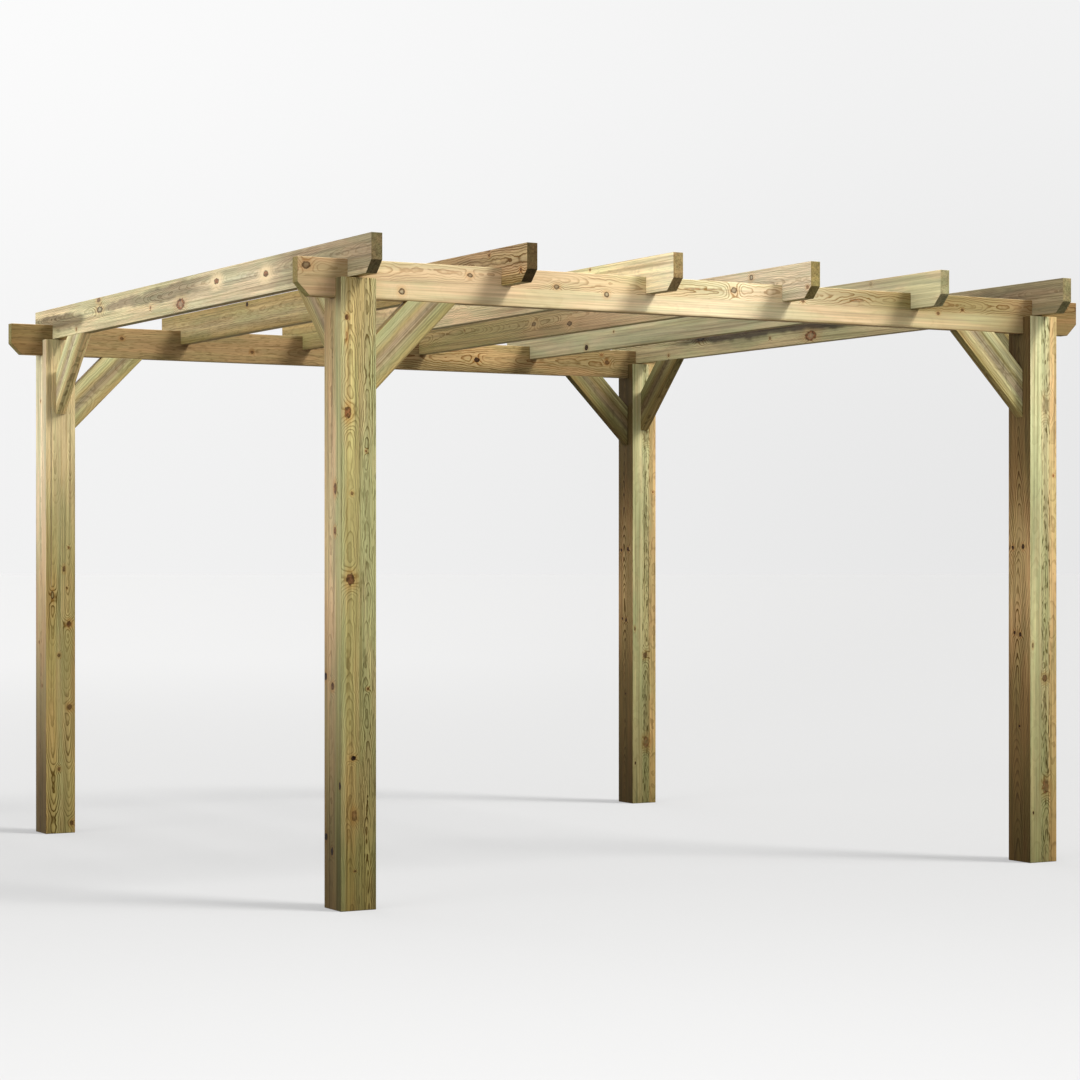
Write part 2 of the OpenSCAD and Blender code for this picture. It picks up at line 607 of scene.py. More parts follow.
@dataclass
class Timber:
    """One sawn and planed timber.

    Attributes:
        node: CAD node that it stands for.
        slot: Name of its slot, which the log shows.
        outline: Corners of its wide face, in order round it.
        thickness: Size through the wide face.
        place: Its own frame in the model's frame.
        boards: Look of each long face.
        ends: Tone of its tail and head ends.
        seed: Moves the noises, so that no two timbers match.
        ease: Size of the eased edges.
        rows: Length of the mesh's faces.
        columns: Width of the mesh's faces.
        check_room: Least distance from a cut of the mesh to a lip or the middle of a check.
        crease: Angle in degrees from which an edge is sharp.
        piece: The object, once it is built.
    """

    node: str
    slot: str
    outline: Sequence[Point]
    thickness: float
    place: Matrix
    boards: dict[Side, Board]
    ends: tuple[Tone, Tone]
    seed: float
    ease: float = 0.0025
    rows: float = 0.040
    columns: float = 0.0125
    check_room: float = 0.003
    crease: float = 50.0
    piece: bpy.types.Object = field(init=False)

    def build(self) -> None:
        """Makes the mesh and the object."""
        solid = self.sawn()
        outer = [edge for edge in solid.edges if edge.is_convex]
        bmesh.ops.bevel(
            solid, geom=outer, offset=self.ease, offset_type="OFFSET", segments=2, profile=0.5, affect="EDGES"
        )
        self.divide(solid)
        self.open_checks(solid)
        mesh = bpy.data.meshes.new(self.node + "_wood")
        solid.to_mesh(mesh)
        solid.free()
        mesh.polygons.foreach_set("use_smooth", [True] * len(mesh.polygons))
        mesh.set_sharp_from_angle(angle=math.radians(self.crease))
        MarkSheet(self, mesh).write(mesh)
        self.piece = bpy.data.objects.new(self.node + "_timber", mesh)
        self.piece.matrix_world = self.place
        bpy.context.scene.collection.objects.link(self.piece)
        self.piece.modifiers.new("Flat faces", "WEIGHTED_NORMAL").keep_sharp = True

    def dress(self, material: bpy.types.Material) -> None:
        """Gives the timber its finish and its place in the frame.

        Args:
            material: Finish.
        """
        self.piece.data.materials.append(material)
        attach(self.piece, "root")
        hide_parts(self.node)

    def sawn(self) -> bmesh.types.BMesh:
        """Extrudes the outline.

        Returns:
            The solid with sharp edges.
        """
        solid = bmesh.new()
        face = solid.faces.new([solid.verts.new((x, y, -self.thickness / 2)) for x, y in self.outline])
        grown = bmesh.ops.extrude_face_region(solid, geom=[face])["geom"]
        moved = [part for part in grown if isinstance(part, bmesh.types.BMVert)]
        bmesh.ops.translate(solid, vec=(0.0, 0.0, self.thickness), verts=moved)
        bmesh.ops.recalc_face_normals(solid, faces=solid.faces[:])
        return solid

    def divide(self, solid: bmesh.types.BMesh) -> None:
        """Cuts the faces into rows and columns, and along both lips and the middle of each check.

        Args:
            solid: The planed solid.
        """
        for axis, step in enumerate((self.rows, self.columns, self.columns)):
            low, high = self.limit(axis, -1), self.limit(axis, 1)
            count = max(2, round((high - low) / step))
            grooves = self.check_lines(axis)
            cuts = [
                cut
                for cut in np.linspace(low, high, count + 1)[1:-1]
                if all(abs(cut - groove) > self.check_room for groove in grooves)
            ]
            normal = [float(index == axis) for index in range(3)]
            for cut in cuts + grooves:
                point = [part * cut for part in normal]
                parts = solid.verts[:] + solid.edges[:] + solid.faces[:]
                bmesh.ops.bisect_plane(solid, geom=parts, dist=1e-6, plane_co=point, plane_no=normal)

    def check_lines(self, axis: int) -> list[float]:
        """Places of the cuts that the checks need along one axis.

        Args:
            axis: The axis across the face that holds the check.

        Returns:
            Lip, middle and lip of each check.
        """
        lines = []
        for side, board in self.boards.items():
            if self.across_axis(side) == axis:
                for check in board.checks:
                    middle = self.limit(axis, 1) - check.across
                    lines += [middle - check.width / 2, middle, middle + check.width / 2]
        return lines

    def across_axis(self, side: Side) -> int:
        """Axis that runs across a long face."""
        return 3 - side.value[0]

    def limit(self, axis: int, sign: int) -> float:
        """Greatest or least coordinate of the timber along an axis.

        Args:
            axis: The axis.
            sign: 1 for the greatest, -1 for the least.

        Returns:
            The coordinate.
        """
        half = self.thickness / 2
        ends = (half, -half) if axis == 2 else [corner[axis] for corner in self.outline]
        return max(ends) if sign > 0 else min(ends)

    def open_checks(self, solid: bmesh.types.BMesh) -> None:
        """Pushes in the middle line of each check.

        Args:
            solid: The divided solid.
        """
        for side, board in self.boards.items():
            axis, sign = side.value
            over = self.across_axis(side)
            for check in board.checks:
                middle = self.limit(over, 1) - check.across
                for vertex in solid.verts:
                    share = (vertex.co.x - check.start) / (check.end - check.start)
                    inside = 0.0 < share < 1.0 and abs(vertex.co[over] - middle) < CLOSE
                    if inside and abs(vertex.co[axis] - self.limit(axis, sign)) < CLOSE:
                        vertex.co[axis] -= sign * check.depth * math.sin(math.pi * share) ** 0.5


def read(items: bpy.types.bpy_prop_collection, name: str, width: int = 1, kind: type = float) -> np.ndarray:
    """Reads one property of every item of a mesh.

    Args:
        items: Vertices, loops or polygons.
        name: Property.
        width: Numbers in each.
        kind: Type of number.

    Returns:
        One row for each item, or one number if the width is 1.
    """
    values = np.empty(len(items) * width, kind)
    items.foreach_get(name, values)
    return values.reshape(-1, width) if width > 1 else values


class MarkSheet:
    """The grain, figure, knots and stain of one timber, at each corner of each face."""

    PAINTED_LIGHT_HUE = np.array((1.2, 1.25, 1.5))
    # Power of a board's painted light and shade in red, green and blue: painted shade is yellower.
    """Power of a board's fade in red, green and blue: dim wood is yellower."""
    END_FIGURE = (0.75, 0.0042, 0.0)
    END_FLECKS = 0.3
    NO_KNOT = (9.0, 9.0, 0.01)
    SIDE_SEED = 3.7
    END_TILT = 0.5
    STRAY_TURN = 7.0
    STRAY_WAVES = ((1.0, 1.0, 0.0, 0.0), (0.6, 2.7, 1.0, 0.0), (0.5, 6.1, 0.0, 60.0), (0.4, 11.3, 0.0, 110.0))
    """Height, rate, offset and shear of the waves in which the stain lines stray."""

    def __init__(self, timber: Timber, mesh: bpy.types.Mesh) -> None:
        """Reads the mesh and works out every side.

        Args:
            timber: Whose mesh it is.
            mesh: Its mesh.
        """
        self.timber = timber
        self.place = read(mesh.vertices, "co", 3)[read(mesh.loops, "vertex_index", kind=np.int32)]
        corners = read(mesh.polygons, "loop_total", kind=np.int32)
        self.owner = np.repeat(np.arange(len(mesh.polygons)), corners)
        self.normal = read(mesh.polygons, "normal", 3)
        self.middle = read(mesh.polygons, "center", 3)
        count = len(self.place)
        self.grain = np.zeros((count, 3))
        self.figure = np.tile(self.END_FIGURE, (count, 1))
        self.knot = np.tile(self.NO_KNOT, (count, 1))
        self.knot_look = np.zeros((count, 4))
        self.stain = np.ones((count, 4))
        self.flecks = np.zeros(count)
        for side, faces in self.sides():
            if side in (Side.TAIL, Side.HEAD):
                self.fill_end(side, faces)
            else:
                self.fill_board(side, faces, timber.boards[side])

    def sides(self) -> Iterable[tuple[Side, np.ndarray]]:
        """Sorts the faces by the side that they look to.

        Yields:
            Each side, with a mask of its faces.
        """
        end = np.abs(self.normal[:, 0]) > self.END_TILT
        wide = np.abs(self.normal[:, 2]) >= np.abs(self.normal[:, 1])
        kinds = (end, ~end & ~wide, ~end & wide)
        for side in Side:
            axis, sign = side.value
            yield side, kinds[axis] & (self.normal[:, axis] * sign > 0)

    def fill_end(self, side: Side, faces: np.ndarray) -> None:
        """Marks a sawn end, where the rings show as arcs.

        Args:
            side: Tail or head.
            faces: Mask of its faces.
        """
        timber = self.timber
        chosen = faces[self.owner]
        heart = timber.boards[Side.NEAR].hearts[0]
        centre = np.array([0.0, timber.limit(1, 1) - heart.across, timber.thickness / 2 - heart.depth])
        self.grain[chosen] = self.place[chosen] - centre + np.array([timber.seed, 0.0, 0.0])
        self.figure[chosen] = self.END_FIGURE
        self.stain[chosen, :3] = timber.ends[0 if side is Side.TAIL else 1].value
        self.flecks[chosen] = self.END_FLECKS

    def fill_board(self, side: Side, faces: np.ndarray, board: Board) -> None:
        """Marks a long face.

        Args:
            side: Which one.
            faces: Mask of its faces.
            board: Its look.
        """
        timber = self.timber
        over = timber.across_axis(side)
        edge = timber.limit(over, 1)
        chosen = np.flatnonzero(faces[self.owner])
        along = self.place[chosen, 0]
        across = edge - self.place[chosen, over]
        face_across = edge - self.middle[:, over]
        lines = np.array([heart.across for heart in board.hearts])
        nearest = np.abs(face_across[:, None] - lines).argmin(axis=1)[self.owner[chosen]]
        traits = np.array([(h.across, h.depth, h.contrast, h.slope, h.fleck) for h in board.hearts])[nearest]
        seed = timber.seed + self.SIDE_SEED * list(Side).index(side)
        self.grain[chosen] = np.stack([along + seed, across - traits[:, 0], traits[:, 1]], axis=1)
        shares = np.stack([np.interp(along, *zip(*heart.shares)) for heart in board.hearts])
        self.figure[chosen, 0] = traits[:, 2] * shares[nearest, np.arange(len(along))]
        self.figure[chosen, 1] = board.pitch
        self.figure[chosen, 2] = along * traits[:, 3]
        self.flecks[chosen] = traits[:, 4]
        # Painted light and shade: the stain is scaled by its share at each place along the timber, and turns
        # yellower where it is darkened.
        fade = np.interp(along, *zip(*board.fade))
        self.stain[chosen, :3] = self.stained(board, along, across) * fade[:, None] ** self.PAINTED_LIGHT_HUE
        self.fill_knots(chosen, along, across, face_across, board)

    def stained(self, board: Board, along: np.ndarray, across: np.ndarray) -> np.ndarray:
        """Blends the stain lines of a board.

        Args:
            board: The board.
            along: Place of each point along the timber.
            across: Its distance across the face.

        Returns:
            The colour of each point.
        """
        rows = []
        for run in board.streaks.values():
            stops = run if isinstance(run, dict) else {0.0: run}
            tones = np.array([tone.value for tone in stops.values()])
            parts = [np.interp(along, list(stops), part) for part in tones.T]
            rows.append(np.stack(parts, axis=1))
        edges = list(board.streaks)
        turns = along * self.STRAY_TURN + self.timber.seed
        stray = sum(
            height * np.sin(rate * turns + offset + across * shear)
            for height, rate, offset, shear in self.STRAY_WAVES
        )
        level = np.interp(across + board.wave * stray, edges, np.arange(len(edges)))
        lower = np.clip(np.floor(level).astype(int), 0, len(edges) - 1)
        upper = np.minimum(lower + 1, len(edges) - 1)
        table = np.stack(rows)
        index = np.arange(len(along))
        share = (level - lower)[:, None]
        return table[lower, index] * (1.0 - share) + table[upper, index] * share

    def fill_knots(
        self, chosen: np.ndarray, along: np.ndarray, across: np.ndarray, face_across: np.ndarray, board: Board
    ) -> None:
        """Gives each face the knot that reaches furthest into it.

        Args:
            chosen: The face corners to mark.
            along: Their places along the timber.
            across: Their distances across the face.
            face_across: Distance of each face's middle across the board.
            board: Whose knots they are.
        """
        if not board.knots:
            return
        knots = [(kind, knot) for kind, group in board.knots.items() for knot in group]
        facts = np.array([(k.along, k.across, k.radius * k.stretch, k.radius) for _, k in knots])
        looks = np.array([kind.value for kind, _ in knots])
        away_along = (self.middle[:, 0][:, None] - facts[:, 0]) / facts[:, 2]
        away_across = (face_across[:, None] - facts[:, 1]) / facts[:, 3]
        nearest = np.hypot(away_along, away_across).argmin(axis=1)[self.owner[chosen]]
        middle, level, length, radius = facts[nearest].T
        self.knot[chosen] = np.stack([(along - middle) / length, (across - level) / radius, radius], axis=1)
        self.knot_look[chosen] = looks[nearest]

    def write(self, mesh: bpy.types.Mesh) -> None:
        """Stores the marks as attributes.

        Args:
            mesh: The timber's mesh.
        """
        vectors = {"grain": self.grain, "figure": self.figure, "knot": self.knot}
        colours = {"stain": self.stain, "knot_look": self.knot_look}
        sheets = {"VECTOR": vectors, "COLOR": colours}
        for kind, marks in sheets.items():
            for name, values in marks.items():
                layer = mesh.attributes.new(name, "FLOAT_" + kind, "CORNER")
                layer.data.foreach_set(kind.lower(), values.astype(np.float32).ravel())
        layer = mesh.attributes.new("flecks", "FLOAT", "CORNER")
        layer.data.foreach_set("value", self.flecks.astype(np.float32))


def axes(along: Colour, across: Colour, through: Colour, origin: Colour) -> Matrix:
    """Frame of a timber.

    Args:
        along: Direction of its X axis.
        across: Direction of its Y axis.
        through: Direction of its Z axis.
        origin: Its origin.

    Returns:
        The frame as a matrix.
    """
    matrix = Matrix((along, across, through)).transposed().to_4x4()
    matrix.translation = origin
    return matrix


def foot(low: Vector, high: Vector) -> Colour:
    """Middle of the underside of a box."""
    return (low[0] + high[0]) / 2, (low[1] + high[1]) / 2, low[2]


@dataclass
class Assembly:
    """Timbers of one kind.

    Attributes:
        finish: The finish that they share.
        seeds: Seed of the first timber, and the step to the next.
        timbers: The timbers, once they are built.
    """

    finish: SoftwoodFinish
    seeds: Point
    timbers: list[Timber] = field(init=False, default_factory=list)

    def seed(self, index: int) -> float:
        """Number that sets one timber's grain apart."""
        return self.seeds[0] + self.seeds[1] * index

    def keep(self, timber: Timber) -> None:
        """Builds a timber and keeps it."""
        timber.build()
        self.timbers.append(timber)

    def dress(self) -> None:
        """Makes the finish and gives it to every timber."""
        material = self.finish.make()
        for timber in self.timbers:
            timber.dress(material)


# Painted shade on the posts' boards: each grows darker towards the foot, where the light falls off. The bark
# board is also darker at the top and brightest at mid height.
POST_PAINTED_SHADE = ((0.0, 0.36), (0.25, 0.46), (0.8, 0.66), (1.3, 0.81), (1.9, 0.94), (2.3, 1.0))
POST_SIDE_PAINTED_SHADE = ((0.0, 0.21), (0.25, 0.29), (0.7, 0.60), (1.2, 0.98), (1.7, 0.97), (2.3, 0.92))
BARK_PAINTED_LIGHT = (
    (0.0, 0.28), (0.25, 0.37), (0.7, 0.62), (1.1, 1.36), (1.4, 1.30), (1.75, 0.60), (2.0, 0.45), (2.3, 0.43)
)
ARCHES_PAINTED_SHADE = ((0.0, 0.57), (0.25, 0.68), (0.8, 0.75), (1.3, 0.87), (1.9, 0.97), (2.3, 1.0))

CORN_RUN = {0.2: Tone.STRAW, 0.9: Tone.CORN}
MOSS_RUN = {0.1: Tone.CORN, 0.5: Tone.MOSS, 1.2: Tone.PALE_MOSS, 1.7: Tone.PALE_MOSS}
FLAME = Board(
    {
        0.0: Tone.PALE_MOSS,
        0.014: Tone.PALE_MOSS,
        0.020: CORN_RUN,
        0.050: CORN_RUN,
        0.075: {0.4: Tone.MOSS, 1.2: Tone.OLIVE_STRAW},
        0.086: {**MOSS_RUN, 2.25: Tone.OLIVE_STRAW},
        0.122: {**MOSS_RUN, 2.25: Tone.MOSS},
        0.145: Tone.PALE_MOSS,
    },
    (
        Heart(0.040, 0.026, 0.65, slope=0.07, shares=((1.0, 0.7), (1.7, 1.0))),
        Heart(
            0.110, 0.015, 1.0, slope=0.03, fleck=0.5,
            shares=((0.4, 1.3), (0.7, 0.7), (1.4, 0.65), (2.0, 0.9)),
        ),
    ),
    {
        KnotKind.PURPLE: (Knot(2.190, 0.024, 0.008, 1.4), Knot(1.224, 0.039, 0.017, 1.35)),
        KnotKind.ORANGE: (Knot(2.120, 0.024, 0.004, 5.0), Knot(0.351, 0.055, 0.011, 2.0)),
        KnotKind.RED: (Knot(1.839, 0.029, 0.014, 1.7), Knot(1.698, 0.103, 0.005), Knot(0.819, 0.110, 0.005)),
        KnotKind.BROWN: (Knot(1.541, 0.045, 0.006), Knot(0.147, 0.058, 0.006, 0.6)),
        KnotKind.BLACK: (Knot(0.564, 0.051, 0.011, 0.8),),
    },
    fade=POST_PAINTED_SHADE,
)

# At the top of the post's left face, the front strip turns dark olive: painted shade on the cheek under the
# beam and rafter. The browner top of the face is partly its own tone, partly painted shade.
BLUSH_EDGE = {2.20: Tone.PALE_MOSS, 2.27: Tone.DARK_OLIVE}
BLUSH = Board(
    {
        0.0: {1.7: Tone.PINK_TAN, 2.15: Tone.HONEY},
        0.09: {1.7: Tone.ROSE_TAN, 2.15: Tone.HONEY},
        0.108: BLUSH_EDGE,
        0.145: BLUSH_EDGE,
    },
    (Heart(0.060, 0.060, 0.35),),
    {
        KnotKind.RED: (Knot(1.560, 0.095, 0.012, 1.8), Knot(1.402, 0.095, 0.010, 1.5)),
        KnotKind.BLACK: (
            Knot(0.862, 0.014, 0.013),
            Knot(0.462, 0.136, 0.008, 1.8),
            Knot(0.266, 0.018, 0.012),
            Knot(0.216, 0.069, 0.010, 1.5),
        ),
        KnotKind.PURPLE: (Knot(0.828, 0.073, 0.012),),
    },
    fade=POST_SIDE_PAINTED_SHADE,
)

LIME_RUN = {1.5: Tone.LIME, 1.9: Tone.PALE_LIME}
MAPLE_RUN = {0.3: Tone.MAPLE, 0.9: Tone.AMBER}
SAPLING = Board(
    {
        0.0: LIME_RUN,
        0.060: LIME_RUN,
        0.085: {1.5: Tone.PALE_MOSS, 1.9: Tone.LIME},
        0.104: Tone.LIME,
        0.107: MAPLE_RUN,
        0.145: MAPLE_RUN,
    },
    (
        Heart(0.030, 0.090, 0.15, fleck=0.1),
        Heart(0.084, 0.022, 0.60, slope=0.10, fleck=1.0, shares=((0.9, 1.0), (2.1, 0.5))),
        Heart(0.127, 0.06, 0.4),
    ),
    {
        KnotKind.GHOST: (Knot(1.957, 0.085, 0.020, 1.75),),
        KnotKind.RED: (Knot(1.658, 0.127, 0.005),),
        KnotKind.BROWN: (Knot(0.930, 0.014, 0.005, 2.4), Knot(0.789, 0.079, 0.014)),
        KnotKind.ORANGE: (Knot(0.325, 0.084, 0.018, 1.7),),
        KnotKind.BLACK: (Knot(0.215, 0.017, 0.004, 2.0),),
    },
    fade=POST_PAINTED_SHADE,
)

BARK_RUN = {1.7: Tone.UMBER, 2.0: Tone.TOFFEE}
BARK = Board(
    {0.0: BARK_RUN, 0.145: BARK_RUN},
    (Heart(0.062, 0.020, 1.0, slope=0.17, shares=((0.5, 0.5), (0.95, 1.2), (1.6, 1.2), (1.9, 0.5))),),
    {
        KnotKind.BLACK: (
            Knot(1.349, 0.030, 0.008),
            Knot(1.353, 0.097, 0.010),
            Knot(0.982, 0.041, 0.007),
            Knot(0.976, 0.079, 0.009),
            Knot(0.582, 0.074, 0.005),
        )
    },
    fade=BARK_PAINTED_LIGHT,
    pitch=0.0100,
)

WHEAT_RUN = {1.2: Tone.STRAW, 1.9: Tone.WHEAT}
ARCHES = Board(
    {
        0.0: WHEAT_RUN,
        0.045: WHEAT_RUN,
        0.065: {1.2: Tone.MOSS, 1.9: Tone.WHEAT},
        0.090: {1.2: Tone.OLIVE_STRAW, 1.9: Tone.WHEAT},
        0.145: WHEAT_RUN,
    },
    (
        Heart(
            0.036, 0.018, 1.0, slope=-0.07,
            shares=((0.3, 1.1), (0.5, 0.7), (0.65, 0.35), (0.9, 0.4), (1.1, 1.0), (1.3, 0.4)),
        ),
        Heart(
            0.111, 0.015, 1.0, slope=-0.12,
            shares=((0.2, 0.6), (0.4, 1.0), (0.6, 0.5), (0.8, 0.9), (1.1, 0.6), (1.6, 0.4)),
        ),
    ),
    {
        KnotKind.BROWN: (
            Knot(1.355, 0.112, 0.005),
            Knot(1.253, 0.089, 0.008, 1.9),
            Knot(1.163, 0.103, 0.005),
            Knot(0.844, 0.064, 0.008),
            Knot(0.598, 0.116, 0.012),
            Knot(0.305, 0.065, 0.008),
            Knot(0.047, 0.128, 0.010),
        ),
        KnotKind.RING: (Knot(1.130, 0.032, 0.008, 2.5),),
        KnotKind.RED: (Knot(0.993, 0.114, 0.013),),
    },
    (Check(1.15, 2.04, 0.026, 0.0036, 0.009),),
    ARCHES_PAINTED_SHADE,
    pitch=0.0072,
)

SHELL = Board(
    {
        0.0: {1.2: Tone.ROSE_TAN, 1.8: Tone.BUTTER},
        0.090: {1.2: Tone.PINK_TAN, 1.8: Tone.BUTTER},
        0.145: {1.2: Tone.ROSE_TAN, 1.8: Tone.CREAM},
    },
    (Heart(0.070, 0.070, 0.30),),
    {
        KnotKind.RED: (Knot(2.05, 0.07, 0.006), Knot(0.70, 0.09, 0.006)),
        KnotKind.BROWN: (Knot(0.905, 0.05, 0.007),),
    },
    fade=POST_SIDE_PAINTED_SHADE,
)


NARROW = 0.045
"""Width of a narrow face."""


def narrow(first: Tone, last: Tone, contrast: float) -> Board:
    """Board of a narrow face, from one tone to another across it."""
    return Board({0.0: first, NARROW: last}, (Heart(across=0.02, depth=0.05, contrast=contrast),))


def with_painted_light(board: Board, share: float) -> Board:
    """The same board with painted light: its tones scaled by a share, darker below 1 and lighter above 1."""
    return replace(board, fade=tuple((along, share * light) for along, light in board.fade))


@dataclass
class PostSet(Assembly):
    """Four square posts with a forked top.

    Attributes:
        slot_play: Air on each side of the beam in its slot.
        shade: Painted shade on the rear right post: shares of the tone kept on its front and left boards.
        finish: The posts' finish.
        seeds: Seeds of their grain.
    """

    slot_play: float = 0.0005
    shade: Point = (0.89, 0.84)
    finish: SoftwoodFinish = SoftwoodFinish("post_softwood", streak=0.16, hair=0.52)
    seeds: Point = (11.0, 11.0)

    def build(self) -> None:
        """Builds the four posts, each with its front and left boards and those of its hidden faces."""
        flame, sapling, arches = (FLAME, BLUSH), (SAPLING, BARK), (ARCHES, SHELL)
        # The rear right post takes the front right post's boards with painted shade, as it stands further
        # back.
        shaded = (with_painted_light(SAPLING, self.shade[0]), with_painted_light(BARK, self.shade[1]))
        kinds = {
            "front_left": (*flame, *arches),
            "front_right": (*sapling, *flame),
            "rear_left": (*arches, *sapling),
            "rear_right": (*shaded, *arches),
        }
        for index, (corner, boards) in enumerate(kinds.items()):
            low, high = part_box("post_" + corner)
            beam_low, beam_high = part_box("beam_" + corner.split("_")[0])
            half = (high[1] - low[1]) / 2
            slot = (beam_high[1] - beam_low[1]) / 2 + self.slot_play
            top, floor = high[2] - low[2], beam_low[2] - low[2]
            outline = [(0.0, -half), (top, -half), (top, -slot), (floor, -slot)]
            outline += [(x, -y) for x, y in reversed(outline)]
            place = axes((0, 0, 1), (0, 1, 0), (-1, 0, 0), foot(low, high))
            sides = dict(zip((Side.UNDER, Side.NEAR, Side.OVER, Side.FAR), boards))
            ends = (Tone.END_OLIVE, Tone.END_GOLD)
            seed, width = self.seed(index), high[0] - low[0]
            self.keep(Timber("post_" + corner, "post_timber", outline, width, place, sides, ends, seed))


def cut_end_outline(length: float, depth: float, cut: float) -> list[Point]:
    """Wide face of a timber whose lower end corners are cut off, from the upper tail corner on."""
    half = length / 2
    return [(-half, depth), (-half, cut), (-half + cut, 0.0), (half - cut, 0.0), (half, cut), (half, depth)]


# The front beam's left overhang is rosy and darker: partly its own tone, partly painted shadow of the first
# rafter's end.
PEACH_START = {-1.85: Tone.ROSE, -1.62: Tone.ROSE, -1.5: Tone.PEACH, -0.9: Tone.PEACH}
PEACH_TAIL = {1.55: Tone.HONEY, 1.68: Tone.UMBER}
PEACH_GREEN = {0.95: Tone.OLIVE, **PEACH_TAIL}
PEACH = Board(
    {
        0.0: {**PEACH_START, -0.3: Tone.BRIGHT_PEACH, 0.1: Tone.BUTTER, 0.6: Tone.APRICOT, **PEACH_GREEN},
        0.06: {**PEACH_START, -0.2: Tone.BRIGHT_PEACH, 0.1: Tone.BUTTER, 0.7: Tone.APRICOT, **PEACH_GREEN},
        0.09: {
            **PEACH_START, 0.0: Tone.BUTTER, 0.5: Tone.PEACH, 0.9: Tone.APRICOT, 1.3: Tone.WHEAT, **PEACH_TAIL
        },
        0.138: {**PEACH_START, 0.0: Tone.BUTTER, 0.5: Tone.PEACH, 1.2: Tone.WHEAT, **PEACH_TAIL},
        0.145: Tone.HONEY,
    },
    (
        Heart(
            0.036, 0.020, 0.80, slope=0.05, fleck=0.1,
            shares=((-1.3, 0.6), (-0.9, 1.1), (0.2, 0.8), (0.9, 1.1)),
        ),
        Heart(0.112, 0.120, 0.08, fleck=0.02),
    ),
    {
        KnotKind.GREY: (
            Knot(-1.815, 0.032, 0.014, 1.3),
            Knot(-1.133, 0.035, 0.009, 1.4),
            Knot(-0.753, 0.060, 0.010),
            Knot(0.069, 0.033, 0.013),
        ),
        KnotKind.RING: (Knot(-1.423, 0.110, 0.013, 1.0), Knot(-0.528, 0.079, 0.011, 1.0)),
        KnotKind.LENS: (
            Knot(-0.125, 0.037, 0.0040, 12.0),
            Knot(-0.040, 0.035, 0.0035, 8.0),
            Knot(0.675, 0.044, 0.008, 5.0),
        ),
        KnotKind.BROWN: (Knot(0.405, 0.061, 0.007), Knot(1.098, 0.079, 0.007), Knot(1.226, 0.059, 0.006)),
    },
    fade=((0.0, 0.95),),
    pitch=0.0062,
)

TOAST = Board(
    {
        0.0: {-1.85: Tone.UMBER, -1.5: Tone.HONEY, 0.3: Tone.HONEY, 0.6: Tone.AMBER, 1.2: Tone.HONEY},
        0.07: {-1.85: Tone.UMBER, -1.6: Tone.TOFFEE, 0.3: Tone.HONEY, 0.7: Tone.AMBER, 1.2: Tone.HONEY},
        0.145: {-1.85: Tone.UMBER, -1.5: Tone.HONEY, 1.85: Tone.TOFFEE},
    },
    (
        Heart(
            0.080, 0.022, 1.0, slope=-0.07, fleck=0.4,
            shares=((-0.9, 0.22), (0.1, 0.4), (0.4, 1.3), (1.2, 0.9)),
        ),
    ),
    {
        KnotKind.BROWN: (Knot(-1.30, 0.050, 0.009), Knot(-0.62, 0.090, 0.008), Knot(1.424, 0.067, 0.012)),
        KnotKind.BLACK: (Knot(0.639, 0.082, 0.012, 1.4),),
        KnotKind.ORANGE: (Knot(1.390, 0.028, 0.007),),
    },
    # Painted shade: the rear beam's face is darkened all along, most near its left end.
    fade=((-1.66, 0.76), (-1.5, 0.88), (-1.0, 0.82), (1.85, 0.80)),
    pitch=0.0088,
)


@dataclass
class BeamPair(Assembly):
    """Two beams that lie in the forks of the posts.

    Attributes:
        cut: Leg of the cut on the lower corner of each end.
        finish: The beams' finish.
        seeds: Seeds of their grain.
    """

    cut: float = 0.050
    finish: SoftwoodFinish = SoftwoodFinish(
        "beam_softwood", (0.44, 0.30, 0.18), wander=0.026, fibre=0.13, streak=0.09, hair=0.22
    )
    seeds: Point = (61.0, 9.0)

    def build(self) -> None:
        """Builds both beams."""
        crown, sole = narrow(Tone.PEACH, Tone.STRAW, 0.4), narrow(Tone.AMBER, Tone.PINK_TAN, 0.5)
        for index, (name, shown, hidden) in enumerate((("front", PEACH, TOAST), ("rear", TOAST, PEACH))):
            low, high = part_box("beam_" + name)
            outline = cut_end_outline(high[0] - low[0], high[2] - low[2], self.cut)
            boards = {Side.NEAR: shown, Side.FAR: hidden, Side.OVER: crown, Side.UNDER: sole}
            place = axes((1, 0, 0), (0, 0, 1), (0, -1, 0), foot(low, high))
            ends = (Tone.END_LIME, Tone.END_GOLD)
            seed, width = self.seed(index), high[1] - low[1]
            self.keep(Timber("beam_" + name, "beam_timber", outline, width, place, boards, ends, seed))


